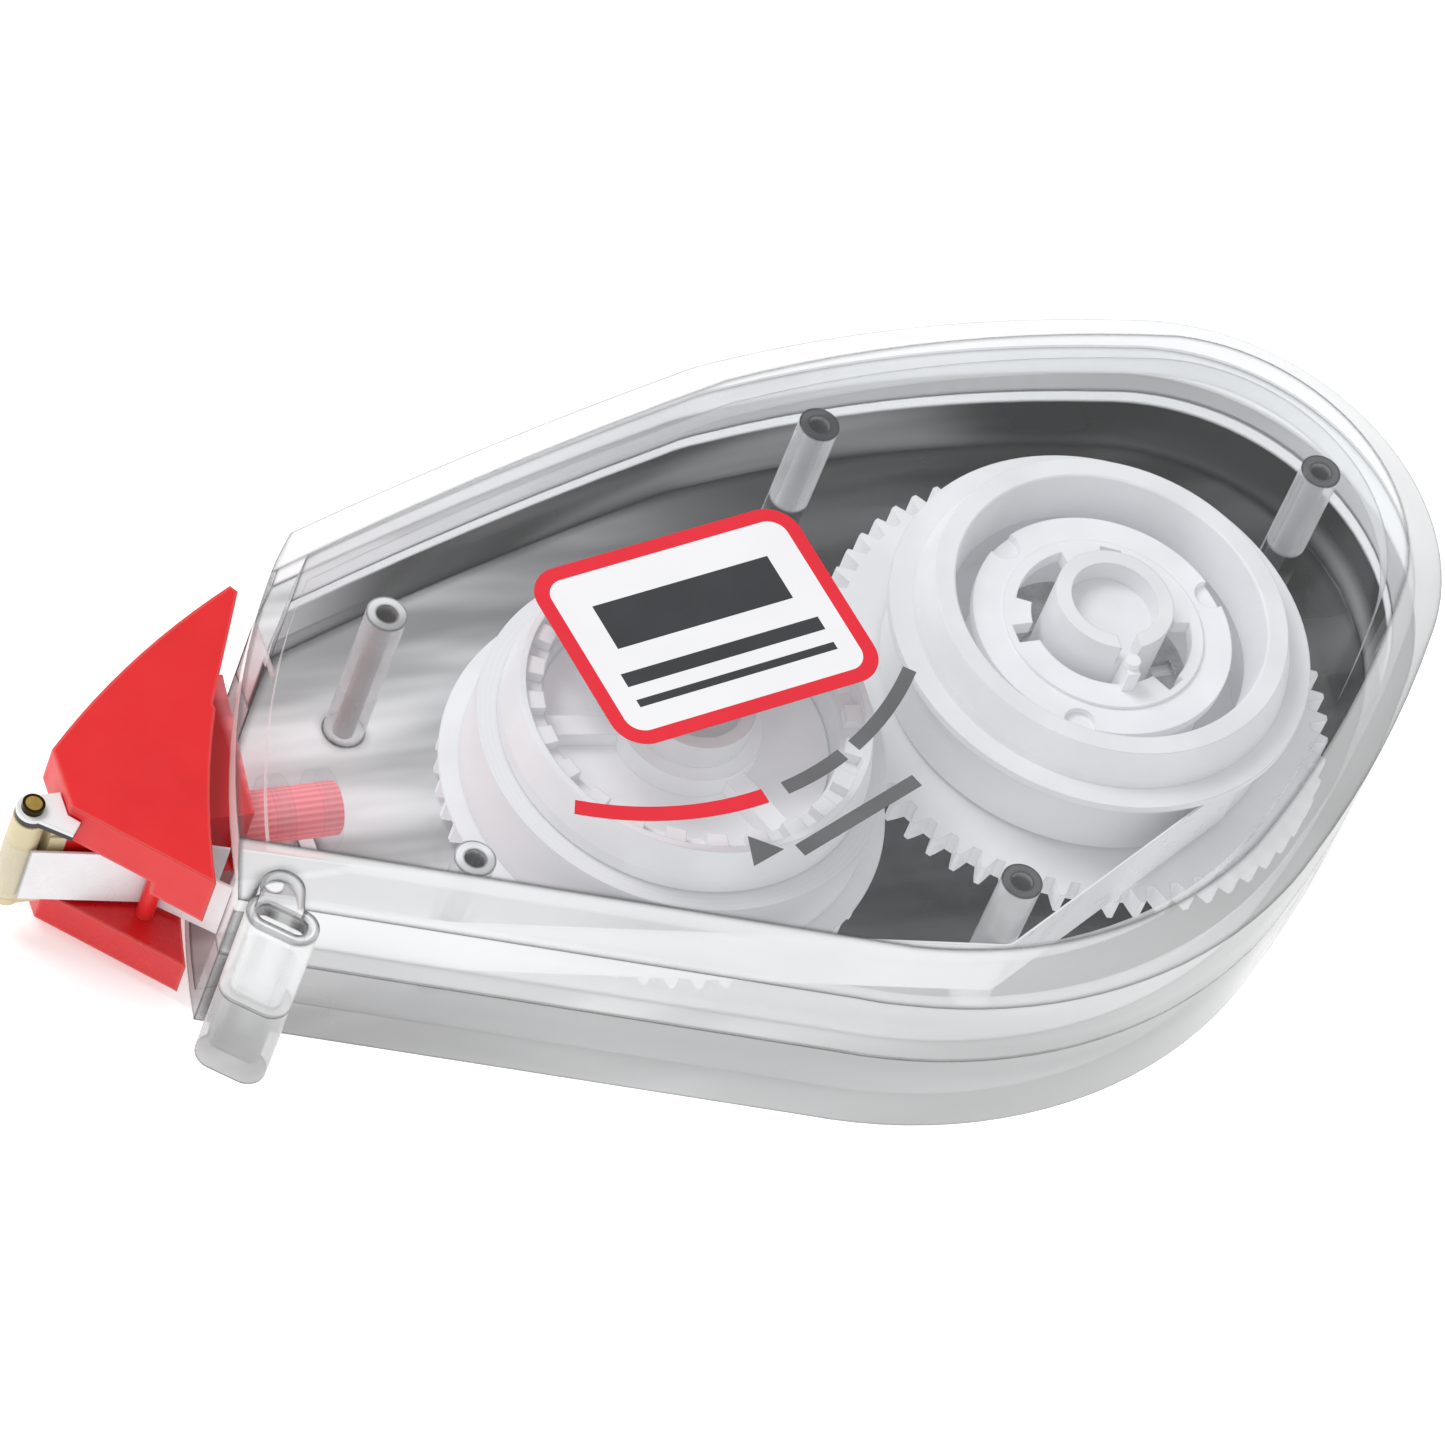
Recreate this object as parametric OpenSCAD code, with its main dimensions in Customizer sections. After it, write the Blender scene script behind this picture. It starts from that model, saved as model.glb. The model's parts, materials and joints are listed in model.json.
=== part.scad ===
// Compact correction tape roller: clear two-part casing, geared supply and take-up reels,
// a red flexing head with a small tip roller, and the tape that runs between them.
// Millimetres. The back face lies on z = 0, the head points to -X, the reels' axes run along Z.

/* [Casing] */

// Thickness of the closed casing
thickness = 13; // [11:0.1:16]

// Height of the parting line between the two shells
parting = 6.2; // [5:0.1:8]

// Thickness of the side walls
wall = 1.3; // [1:0.1:2]

// Thickness of the floor and of the lid
plate = 1.1; // [0.8:0.1:1.6]

// Width of the bevel around the front face
bevel_w = 2.6; // [1:0.1:3]

// Height of the bevel around the front face
bevel_h = 1.9; // [0.8:0.1:2.2]

/* [Reels] */

// Teeth on the supply reel's gear
supply_teeth = 60; // [40:1:72]

// Teeth on the take-up reel's gear
take_up_teeth = 50; // [36:1:60]

// Distance between the two reel axes
centre_distance = 26.5; // [24:0.1:30]

// Radius of the full roll of correction tape
supply_roll_r = 11.4; // [9:0.1:11.6]

// Radius of the roll of used backing tape
liner_roll_r = 11.5; // [9.8:0.1:11.8]

/* [Tape] */

// Width of the tape
tape_w = 4.2; // [4:0.1:5]

// Thickness of a drawn tape strand
tape_t = 0.14; // [0.08:0.01:0.3]

/* [Head] */

// Radius of the tip roller
tip_r = 0.9; // [0.6:0.05:1.4]

// Radius of the round shank that lets the head twist
shank_r = 1.5; // [1:0.01:1.8]

// Running clearance of every turning fit
play = 0.07; // [0.03:0.01:0.1]

/* [Hidden] */

$fn = 96;
eps = 0.01;

// Colours
CLEAR = [0.86, 0.88, 0.90, 0.35];
CLEAR_FRONT = [0.90, 0.92, 0.94, 0.25];
REEL_WHITE = [0.87, 0.88, 0.89];
DISC_WHITE = [0.82, 0.84, 0.86];
TAPE_WHITE = [0.90, 0.90, 0.91];
LINER_GREY = [0.80, 0.82, 0.84];
HEAD_RED = [0.86, 0.06, 0.08];
CREAM = [0.88, 0.84, 0.70];
BRASS = [0.70, 0.58, 0.24];
STEEL = [0.70, 0.71, 0.72];
PRINT_GREY = [0.25, 0.26, 0.28];
PRINT_RED = [0.88, 0.08, 0.10];
PRINT_WHITE = [0.96, 0.96, 0.97];

// Casing outline: circles in clockwise order, each joined to the next by a large arc that both
// touch from inside, or by a straight side where the radius is 0. One large disc, whose rim is
// the curved front edge, cuts the outline at the mouth.
ROUNDS = [[-31.7, 5.6, 4.5], [6.2, 7.7, 14.2], [28.4, 6.9, 14.8], [8.7, 5.7, 28.3], [-36.1, -3.6, 4.5]];
SIDE_R = [301, 84, 77, 0, 0];
// Height by which the corner circles stand proud of the sides, so that they cross cleanly
proud = 0.02;
// Facets in a full turn of the large arcs
fine = 720;
ROUND_COUNT = len(ROUNDS);
RIM = [14, -16.7];
RIM_R = 48;

// Reel axes
SUPPLY = [22.3, 2.8];
reel_line = 6.9;
TAKE_UP = SUPPLY - centre_distance * [cos(reel_line), sin(reel_line)];

// Heights of the reel parts
gear_z0 = 1.5;
gear_z1 = 3.0;
tape_z0 = 3.3;
tape_z1 = tape_z0 + tape_w;
flange_z0 = 7.7;
flange_z1 = 8.2;
collar_top = 10.5;
window_top = 10.7;
crown_z0 = 9.7;
hub_top = 11;
axle_top = 9.1;
hub_floor = 9.6;

// Gears
tooth_module = 2 * centre_distance / (supply_teeth + take_up_teeth);
supply_pitch_r = tooth_module * supply_teeth / 2;
take_up_pitch_r = tooth_module * take_up_teeth / 2;
addendum = 0.42;
dedendum = 0.60;
tooth_w = 0.60;
tooth_tip_w = 0.30;
tooth_root_w = 0.95;

// Hubs and axles
supply_hub_r = 3.4;
take_up_hub_r = 3.25;
hub_bore_r = 2.5;
axle_r = hub_bore_r - play;
axle_bore_r = 1.5;

// Guide posts of the back shell
POSTS = [[-19.9, 7.1], [8.9, 16.3], [37.4, 9.2], [-20.1, -9.1], [9.7, -15.1]];
post_r = 1.15;
post_bore_r = 0.6;
post_top = thickness - plate - 0.15;
MOUTH_PIN = [-30, -6.9];
mouth_pin_r = 0.6;
mouth_pin_top = 8.4;

// Corner foot: a slotted post, set across the corner, and the web that joins it to the wall
FOOT_A = [-32.87, -11.54];
FOOT_B = [-31.53, -12.66];
foot_r = 1.15;
foot_slot_r = 0.55;
FOOT_WEB = [-32.2, -11.9];
FOOT_ROOT = [-31.6, -10.2];
foot_web_r = 1.2;

// Mouth opening
mouth_y0 = -8.2;
mouth_y1 = 8.2;
mouth_z1 = 11.2;

// Height inside the front shell at which its walls step in under the bevel
ledge_z = thickness - plate - bevel_h + 0.4;

// Head
SHANK_Y = -0.05;
shank_z = 4.5;
head_gap = 0.9;
cheek_top = 10.7;
cheek_bottom = 0.7;
upper_z0 = 8.2;
skirt_z0 = 7.2;
lower_z1 = 3.0;
TIP = [-42.2, -1.3];
fork_top = 10.05;
roller_z0 = 2.95;
roller_z1 = 9.35;
// Large disc whose rim is the bowed upper edge of the cheeks
BOW = [-3.4, -36.8];
BOW_R = 53.4;
HEAD_PIN = [-35.3, -4.2];
head_pin_r = 0.5;

// ---- casing outline ----

function at(i) = ROUNDS[(i + ROUND_COUNT) % ROUND_COUNT];
function side_r(i) = SIDE_R[(i + ROUND_COUNT) % ROUND_COUNT];
function centre(i) = [at(i)[0], at(i)[1]];
function span(i) = centre(i + 1) - centre(i);
function heading(v) = atan2(v[1], v[0]);
function unit(a) = [cos(a), sin(a)];
// Centre of the large arc from circle i to circle i + 1
function side_centre(i) =
    let (a = side_r(i) - at(i)[2], b = side_r(i) - at(i + 1)[2], d = norm(span(i)), u = span(i) / d,
         t = (a * a - b * b + d * d) / (2 * d))
    centre(i) + t * u + sqrt(a * a - t * t) * [u[1], -u[0]];
// Direction of the outward normal where side i starts and where it ends
function straight_angle(i) = heading(span(i)) + acos((at(i)[2] - at(i + 1)[2]) / norm(span(i)));
function start_angle(i) = side_r(i) > 0 ? heading(centre(i) - side_centre(i)) : straight_angle(i);
function end_angle(i) = side_r(i) > 0 ? heading(centre(i + 1) - side_centre(i)) : straight_angle(i);
function side_start(i, inset) = centre(i) + (at(i)[2] - inset) * unit(start_angle(i));
function side_end(i, inset) = centre(i + 1) + (at(i + 1)[2] - inset) * unit(end_angle(i));
// Angle turned through, clockwise, from direction a to direction b
function sweep(a, b) = (a - b + 720) % 360;

// Part of circle i that lies on the outline, as a sector that runs on a little into the sides
module corner(i, inset) {
    lap = 6;
    a = end_angle(i - 1) + lap;
    b = a - sweep(a, start_angle(i)) - lap;
    reach = 2 * at(i)[2];
    intersection() {
        translate(centre(i))
            circle(r = at(i)[2] - inset + proud, $fn = fine);
        translate(centre(i))
            polygon([[0, 0], reach * unit(a), reach * unit((a + b) / 2), reach * unit(b)]);
    }
}

// Sliver between the chord of side i and its arc
module side_bulge(i, inset) {
    lap = 3;
    a = unit(start_angle(i));
    b = unit(end_angle(i));
    intersection() {
        translate(side_centre(i))
            circle(r = side_r(i) - inset, $fn = fine);
        polygon([side_start(i, inset) - lap * a, side_start(i, inset) + lap * a,
                 side_end(i, inset) + lap * b, side_end(i, inset) - lap * b]);
    }
}

// The whole teardrop, moved inwards by inset
module teardrop(inset) {
    polygon([for (i = [0 : ROUND_COUNT - 1]) each [side_start(i, inset), side_end(i, inset)]]);
    for (i = [0, ROUND_COUNT - 1])
        translate(centre(i))
            circle(r = at(i)[2] - inset);
    for (i = [1 : ROUND_COUNT - 2])
        corner(i, inset);
    for (i = [0 : ROUND_COUNT - 1])
        if (side_r(i) > 0)
            side_bulge(i, inset);
}

// The teardrop cut off at the mouth rim
module outline(inset, rim_inset) {
    intersection() {
        teardrop(inset);
        translate(RIM)
            circle(r = RIM_R - rim_inset, $fn = fine);
    }
}

// Rounded bar in plan, from p to q
module bar(p, q, r) {
    translate(p)
        circle(r = r);
    translate(q)
        circle(r = r);
    translate(p)
        rotate(heading(q - p))
            translate([0, -r])
                square([norm(q - p), 2 * r]);
}

// Small foot at the lower front corner
module foot() {
    bar(FOOT_A, FOOT_B, foot_r);
    bar(FOOT_WEB, FOOT_ROOT, foot_web_r);
}

// Section of the solid that is taken off along the front edge, measured from the outer wall
module bevel_section() {
    slope = bevel_h / bevel_w;
    polygon([[-bevel_w - 1 / slope, thickness + 1], [1, thickness + 1],
             [1, thickness - bevel_h - slope]]);
}

// Solid to take away so that the front face has a bevelled edge. The cuts along the sides run
// a little past their ends and the corner ones stand off by lift, so that they cross cleanly.
module bevel_cut() {
    reach = 2.4;
    lift = 0.03;
    lap = 1.5;
    for (i = [0 : ROUND_COUNT - 2])
        if (side_r(i) > 0)
            bevel_turn(side_centre(i), side_r(i), start_angle(i), end_angle(i), reach / side_r(i) * 180 / PI);
        else
            translate(side_start(i, 0))
                rotate([0, 0, start_angle(i) - 90])
                    translate([-reach, 0, 0])
                        rotate([90, 0, 90])
                            linear_extrude(norm(side_end(i, 0) - side_start(i, 0)) + 2 * reach)
                                bevel_section();
    for (i = [1 : ROUND_COUNT - 2])
        bevel_turn(centre(i), at(i)[2] + proud + lift, end_angle(i - 1), start_angle(i), lap);
}

// Bevel cut turned clockwise around a centre, from direction a to direction b, lengthened by lap
module bevel_turn(c, r, a, b, lap) {
    translate(c)
        rotate([0, 0, b - lap])
            rotate_extrude(angle = sweep(a, b) + 2 * lap, $fn = fine)
                translate([r, 0])
                    bevel_section();
}

module tube(r_out, r_in, z0, z1) {
    translate([0, 0, z0])
        difference() {
            cylinder(r = r_out, h = z1 - z0);
            translate([0, 0, -1])
                cylinder(r = r_in, h = z1 - z0 + 2);
        }
}

// Opening for the head, through the curved front wall
module mouth_cut() {
    translate([-38, mouth_y0, plate])
        cube([11, mouth_y1 - mouth_y0, mouth_z1 - plate]);
}

// Slot down the foot
module foot_slot(z0) {
    translate([0, 0, z0])
        linear_extrude(thickness)
            bar(FOOT_A, FOOT_B, foot_slot_r);
}

// Clear ring on a leg that carries the head's shank
module shank_cradle(x) {
    translate([x, SHANK_Y, 0])
        difference() {
            union() {
                translate([0, 0, shank_z])
                    rotate([0, 90, 0])
                        cylinder(r = shank_r + 0.75, h = 0.9);
                translate([0, -1.2, plate - eps])
                    cube([0.9, 2.4, shank_z - plate]);
            }
            translate([-1, 0, shank_z])
                rotate([0, 90, 0])
                    cylinder(r = shank_r + play, h = 3);
        }
}

module back_shell() {
    color(CLEAR) {
        difference() {
            union() {
                linear_extrude(parting)
                    outline(0, 0);
                linear_extrude(parting)
                    foot();
            }
            translate([0, 0, plate])
                linear_extrude(thickness)
                    outline(wall, wall);
            mouth_cut();
            foot_slot(plate);
        }
        for (p = POSTS)
            translate(p)
                tube(post_r, post_bore_r, plate - eps, post_top);
        for (p = [SUPPLY, TAKE_UP])
            translate(p) {
                tube(axle_r, axle_bore_r, plate - eps, axle_top);
                tube(4.2, axle_r - eps, plate - eps, gear_z0 - 0.15);
            }
        translate([MOUTH_PIN[0], MOUTH_PIN[1], plate - eps])
            cylinder(r = mouth_pin_r, h = mouth_pin_top - plate);
        for (x = [-27.4, -24.7])
            shank_cradle(x);
    }
}

module front_shell() {
    color(CLEAR_FRONT) {
        difference() {
            union() {
                difference() {
                    translate([0, 0, parting])
                        linear_extrude(thickness - parting)
                            outline(0, 0);
                    bevel_cut();
                }
                translate([0, 0, parting])
                    linear_extrude(thickness - parting)
                        foot();
            }
            translate([0, 0, parting - 1])
                linear_extrude(ledge_z - parting + 1)
                    outline(wall, wall);
            translate([0, 0, parting - 1])
                linear_extrude(thickness - plate - parting + 1)
                    outline(wall + bevel_w - 0.5, wall + 0.6);
            mouth_cut();
            foot_slot(parting - 1);
        }
    }
}

// ---- gears and reels ----

// Corner points of tooth number k on a gear of the given pitch radius
function tooth(pitch_r, count, k, phase) =
    let (a = 360 * k / count + phase, deg = 180 / PI, root = pitch_r - dedendum, tip = pitch_r + addendum)
    [root * unit(a - tooth_root_w / 2 / root * deg),
     pitch_r * unit(a - tooth_w / 2 / pitch_r * deg),
     tip * unit(a - tooth_tip_w / 2 / tip * deg),
     tip * unit(a + tooth_tip_w / 2 / tip * deg),
     pitch_r * unit(a + tooth_w / 2 / pitch_r * deg),
     root * unit(a + tooth_root_w / 2 / root * deg)];

module gear_profile(pitch_r, count, phase) {
    polygon([for (k = [0 : count - 1]) each tooth(pitch_r, count, k, phase)]);
}

// Bore for the axle from below, and the shallow cup at the hub's top
module hub_bore(hub_r) {
    translate([0, 0, -1])
        cylinder(r = hub_bore_r, h = axle_top + 1.1);
    translate([0, 0, hub_floor])
        cylinder(r = hub_bore_r, h = 5);
    translate([0, 0, -1])
        cylinder(r = hub_r + 1, h = 1 + gear_z0);
}

module supply_gear() {
    color(REEL_WHITE)
        translate(SUPPLY)
            difference() {
                union() {
                    translate([0, 0, gear_z0])
                        linear_extrude(gear_z1 - gear_z0)
                            gear_profile(supply_pitch_r, supply_teeth, 180 + reel_line);
                    cylinder(r = supply_hub_r, h = hub_top);
                }
                hub_bore(supply_hub_r);
                // split in the hub's rim
                rotate([0, 0, -94])
                    translate([2.3, -0.6, hub_floor])
                        cube([3, 1.2, 4]);
            }
}

module supply_core() {
    color(REEL_WHITE)
        translate(SUPPLY)
            rotate_extrude()
                polygon([[9.3, gear_z1 + 0.05], [10.2, gear_z1 + 0.05], [10.2, flange_z0],
                         [12.2, flange_z0], [12.2, flange_z1], [10.9, flange_z1], [10.8, flange_z1 + 0.5],
                         [10.2, collar_top], [9.1, collar_top], [9.0, collar_top - 0.1],
                         [8.6, 7.2], [9.3, 7.2]]);
}

// Notched disc that presses on the clutch spring, with a small catch beside the split hub
module supply_clutch_disc() {
    color(DISC_WHITE)
        translate(SUPPLY) {
            difference() {
                union() {
                    tube(7.5, 4.2, 7.9, 8.6);
                    tube(7.0, 6.2, 4.4, 8.0);
                    tube(5.8, 4.2, 8.5, 8.8);
                }
                // round bites in the rim
                for (a = [122, -121, 9])
                    rotate([0, 0, a])
                        translate([7.2, 0, 8.2])
                            cylinder(r = 0.9, h = 2);
                // crescent windows beside the hub
                for (a = [98, -62])
                    rotate([0, 0, a])
                        translate([0, 0, 7])
                            rotate_extrude(angle = 54)
                                translate([4, 0])
                                    square([1.1, 4]);
                // inner notches
                for (a = [180, 65, -60])
                    rotate([0, 0, a])
                        translate([3.5, -0.6, 7])
                            cube([1.9, 1.2, 4]);
            }
            rotate([0, 0, -94]) {
                translate([3.5, -0.35, 8])
                    cube([1.2, 0.7, 2.3]);
                translate([3.97, 0, 10.2])
                    cylinder(r = 0.45, h = 0.5);
            }
        }
}

module supply_clutch_spring() {
    color(STEEL)
        translate(SUPPLY)
            difference() {
                tube(6.8, 3.9, gear_z1 + 0.1, gear_z1 + 0.5);
                for (k = [0 : 5])
                    rotate([0, 0, 60 * k])
                        translate([4.6, -0.5, gear_z1])
                            cube([1.4, 1, 1]);
            }
}

module supply_tape_roll() {
    color(TAPE_WHITE)
        translate(SUPPLY)
            tube(supply_roll_r, 10.2, tape_z0, tape_z1);
}

module take_up_gear() {
    color(REEL_WHITE)
        translate(TAKE_UP)
            difference() {
                union() {
                    translate([0, 0, gear_z0])
                        linear_extrude(gear_z1 - gear_z0)
                            gear_profile(take_up_pitch_r, take_up_teeth, reel_line + 180 / take_up_teeth);
                    cylinder(r = take_up_hub_r, h = hub_top);
                }
                hub_bore(take_up_hub_r);
            }
}

module take_up_core() {
    color(REEL_WHITE)
        translate(TAKE_UP) {
            rotate_extrude()
                polygon([[8.6, gear_z1 + 0.05], [12.6, gear_z1 + 0.05], [12.6, gear_z1 + 0.25],
                         [9.5, gear_z1 + 0.28], [9.5, flange_z0], [10.4, flange_z0],
                         [10.4, flange_z1 + 0.4], [9.9, window_top], [9.5, window_top],
                         [9.4, crown_z0], [8.4, crown_z0], [8.3, crown_z0 - 0.1],
                         [8.3, flange_z0], [8.6, flange_z0 - 0.3]]);
            // crown of ratchet teeth around the window
            for (k = [0 : 23])
                rotate([0, 0, 15 * k + 4])
                    translate([0, 0, crown_z0 - eps])
                        linear_extrude(0.7)
                            polygon([[8.45, -0.55], [9.46, -0.6], [9.46, 0.6], [8.45, 0.55]]);
        }
}

module take_up_spider() {
    color(DISC_WHITE)
        translate(TAKE_UP) {
            tube(8.2, take_up_hub_r, 7.4, 7.7);
            tube(4.1, take_up_hub_r, 7.6, 9.2);
            for (a = [-68, 52, 172])
                rotate([0, 0, a])
                    translate([4, -0.65, 7.6])
                        cube([4.1, 1.3, 1.1]);
        }
}

module take_up_liner_roll() {
    color(LINER_GREY)
        translate(TAKE_UP)
            tube(liner_roll_r, 9.5, gear_z1 + 0.3, tape_z1 + 0.1);
}

// ---- tape path ----

// Each guide is [x, y, radius, side]; side is 1 when the path keeps the guide on its left
function guide(p, r, side) = [p[0], p[1], r, side];
SUPPLY_PATH = [guide(SUPPLY, supply_roll_r, -1), guide(POSTS[4], post_r, -1),
               guide(POSTS[3], post_r, -1), guide(MOUTH_PIN, mouth_pin_r, -1),
               guide(HEAD_PIN, head_pin_r, 1), guide(TIP, tip_r, -1)];
RETURN_PATH = [guide(TIP, tip_r, -1), guide(TAKE_UP, liner_roll_r, 1)];

function lane(g) = g[2] + 0.02 + tape_t / 2;
function run_angle(a, b) =
    let (v = [b[0] - a[0], b[1] - a[1]])
    heading(v) - asin((b[3] * lane(b) - a[3] * lane(a)) / norm(v));
function touch(g, a) = [g[0], g[1]] - g[3] * lane(g) * [-sin(a), cos(a)];
function leave_point(path, i) = touch(path[i], run_angle(path[i], path[i + 1]));
function reach_point(path, i) = touch(path[i], run_angle(path[i - 1], path[i]));

// Points around guide i, from where the path reaches it to where it leaves it
function turn_between(a0, a1) = (a1 - a0 + 900) % 360 - 180;
function wrap(path, i, n) =
    let (a0 = run_angle(path[i - 1], path[i]), a1 = run_angle(path[i], path[i + 1]))
    [for (k = [0 : n]) touch(path[i], a0 + turn_between(a0, a1) * k / n)];

// Closed band of the tape's thickness along a list of points
function run_heading(pts, k) =
    heading(pts[min(k + 1, len(pts) - 1)] - pts[max(k - 1, 0)]);
function band_side(pts, d) =
    [for (k = [0 : len(pts) - 1]) pts[k] + d * [-sin(run_heading(pts, k)), cos(run_heading(pts, k))]];
function backwards(pts) = [for (k = [len(pts) - 1 : -1 : 0]) pts[k]];

module strand(pts) {
    translate([0, 0, tape_z0])
        linear_extrude(tape_w)
            polygon(concat(band_side(pts, tape_t / 2), backwards(band_side(pts, -tape_t / 2))));
}

// Where the path crosses the plane at x, on the straight run that leaves guide i
function cross_x(path, i, x) =
    let (p = leave_point(path, i), q = reach_point(path, i + 1), f = (x - p[0]) / (q[0] - p[0]))
    p + f * (q - p);

cut_x = -31;
cut_gap = 0.3;

module supply_strand() {
    color(TAPE_WHITE)
        strand(concat([leave_point(SUPPLY_PATH, 0)], wrap(SUPPLY_PATH, 1, 4), wrap(SUPPLY_PATH, 2, 4),
                      wrap(SUPPLY_PATH, 3, 6), [cross_x(SUPPLY_PATH, 3, cut_x + cut_gap)]));
}

// Half of the turn around the tip roller, from fraction f0 to fraction f0 + 1/2
tip_in = run_angle(SUPPLY_PATH[4], SUPPLY_PATH[5]);
tip_turn = (run_angle(RETURN_PATH[0], RETURN_PATH[1]) - tip_in - 360) % 360;
function tip_half(f0) = [for (k = [0 : 10]) touch(SUPPLY_PATH[5], tip_in + tip_turn * (f0 + k / 20))];

module head_supply_strand() {
    color(TAPE_WHITE)
        strand(concat([cross_x(SUPPLY_PATH, 3, cut_x - cut_gap)], wrap(SUPPLY_PATH, 4, 6), tip_half(0)));
}

module head_return_strand() {
    color(LINER_GREY)
        strand(concat(tip_half(0.5), [cross_x(RETURN_PATH, 0, cut_x - cut_gap)]));
}

module return_strand() {
    color(LINER_GREY)
        strand([cross_x(RETURN_PATH, 0, cut_x + cut_gap), reach_point(RETURN_PATH, 1)]);
}

// ---- head ----

// Plan of a cheek: a wedge with a bowed upper edge, following the casing's rim
module cheek_plan(front_cut) {
    difference() {
        intersection() {
            polygon([[-40.3 + front_cut, 6], [-40.4 + front_cut, -2.0 - 0.94 * front_cut], [-34.4, -7.6],
                     [-33.9, -8.1], [-29, -8.1], [-30.8, 3.4], [-27.2, 10.4], [-27.5, 10.8], [-30, 14]]);
            translate(BOW)
                circle(r = BOW_R);
        }
        translate(RIM)
            circle(r = RIM_R + head_gap);
    }
}

module head_upper_cheek() {
    color(HEAD_RED) {
        translate([0, 0, upper_z0])
            linear_extrude(cheek_top - upper_z0)
                cheek_plan(0);
        // deeper skirt beside the tape
        translate([0, 0, skirt_z0])
            linear_extrude(upper_z0 - skirt_z0 + eps)
                intersection() {
                    cheek_plan(0);
                    polygon([[-36.5, -5.9], [-34.4, -8.6], [-33, -8.6], [-33, -7.2], [-34.1, -6.6], [-36, -4.8]]);
                }
    }
}

module head_lower_cheek() {
    color(HEAD_RED)
        translate([0, 0, cheek_bottom])
            linear_extrude(lower_z1 - cheek_bottom)
                cheek_plan(0);
}

module head_shank() {
    color(HEAD_RED) {
        // web between the cheeks, reaching into the mouth
        translate([0, 0, lower_z1])
            linear_extrude(upper_z0 - lower_z1)
                difference() {
                    polygon([[-33.6, -2.2], [-29.6, -2.2], [-28.6, 6.9], [-31.6, 6.9]]);
                    translate(RIM)
                        circle(r = RIM_R - 2.2);
                }
        translate([-30.5, SHANK_Y, shank_z])
            rotate([0, 90, 0])
                cylinder(r = shank_r, h = 7);
    }
}

module centring_tongue() {
    color(HEAD_RED)
        translate([0, 0, 4])
            linear_extrude(1.4)
                polygon([[-30.2, -2.2], [-28.9, -2.2], [-25.1, -3.5], [-25.2, -3.8], [-29.0, -3.4], [-30.2, -3.0]]);
}

module head_guide_pin() {
    color(CREAM)
        translate([HEAD_PIN[0], HEAD_PIN[1], lower_z1])
            cylinder(r = head_pin_r, h = upper_z0 - lower_z1);
}

// ---- tip ----

// Round eye around the roller's pin, joined to the plan shape that follows
module fork_plate(z0, z1) {
    translate([0, 0, z0])
        difference() {
            union() {
                translate(TIP)
                    cylinder(r = 0.85, h = z1 - z0);
                linear_extrude(z1 - z0)
                    children();
            }
            translate([TIP[0], TIP[1], -1])
                cylinder(r = 0.36, h = 4);
        }
}

// Lower fork plate and the thin riser between the tape's two runs
module tip_frame() {
    riser_x = TIP[0] + tip_r + 0.25;
    color(CREAM) {
        fork_plate(roller_z0 - 0.63, roller_z0 - 0.08)
            polygon([[-42.2, -2.05], [-42.2, -0.55], [-40.45, -0.55], [-40.45, -2.05]]);
        translate([0, 0, roller_z0 - 0.63])
            linear_extrude(roller_z1 - roller_z0 + 0.71)
                polygon([[riser_x, -2.0], [riser_x, -1.05], [riser_x + 0.6, -1.2], [riser_x + 0.6, -2.0]]);
        translate([0, 0, lower_z1])
            linear_extrude(upper_z0 - lower_z1)
                polygon([[riser_x, -2.1], [riser_x, -1.05], [-37.6, -2.05], [-37.6, -2.75]]);
    }
}

// Upper fork plate, which holds the roller's pin
module tip_arm() {
    color(PRINT_WHITE)
        fork_plate(roller_z1 + 0.08, fork_top)
            polygon([[-42.2, -2.05], [-42.2, -0.55], [-40.45, -0.55], [-40.45, -2.05], [-39.9, -2.6],
                     [-40.5, -3.3]]);
}

module tip_roller() {
    color(CREAM)
        translate([TIP[0], TIP[1], 0])
            tube(tip_r, 0.36 + play, roller_z0, roller_z1);
}

module tip_pin() {
    color(BRASS)
        translate(TIP) {
            translate([0, 0, roller_z0 - 0.75])
                cylinder(r = 0.35, h = fork_top - roller_z0 + 1);
            translate([0, 0, fork_top + 0.02])
                cylinder(r = 0.62, h = 0.4);
        }
}

// ---- generic front print ----

print_t = 0.06;
BADGE = [-2.9, 3.0];
badge_turn = 10;
badge_w = 16.8;
badge_h = 12.2;
badge_border_w = 0.85;

module rounded(w, h, r) {
    square([w - 2 * r, h], center = true);
    square([w, h - 2 * r], center = true);
    for (x = [-1, 1], y = [-1, 1])
        translate([x * (w / 2 - r), y * (h / 2 - r)])
            circle(r = r);
}

module on_badge() {
    translate([BADGE[0], BADGE[1], thickness])
        rotate([0, 0, badge_turn])
            linear_extrude(print_t)
                children();
}

module badge_border() {
    color(PRINT_RED)
        on_badge()
            difference() {
                rounded(badge_w, badge_h, 1.9);
                badge_field();
            }
}

module badge_face() {
    color(PRINT_WHITE)
        on_badge()
            difference() {
                badge_field();
                badge_marks();
            }
}

module badge_field() {
    rounded(badge_w - 2 * badge_border_w, badge_h - 2 * badge_border_w, 1.1);
}

module badge_marks() {
    translate([0, 1.6])
        square([11.2, 3], center = true);
    translate([0, -1.9])
        square([12.6, 0.9], center = true);
    translate([0, -3.5])
        square([12.6, 0.5], center = true);
}

module badge_bars() {
    color(PRINT_GREY)
        on_badge()
            badge_marks();
}

// Curved bars in the place of a line of print
ARC = [-7.4, 10.2];
arc_r = 19;

module arc_bar(a0, sweep, w) {
    translate([ARC[0], ARC[1], thickness])
        rotate([0, 0, a0])
            rotate_extrude(angle = sweep)
                translate([arc_r - w / 2, 0])
                    square([w, print_t]);
}

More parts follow.
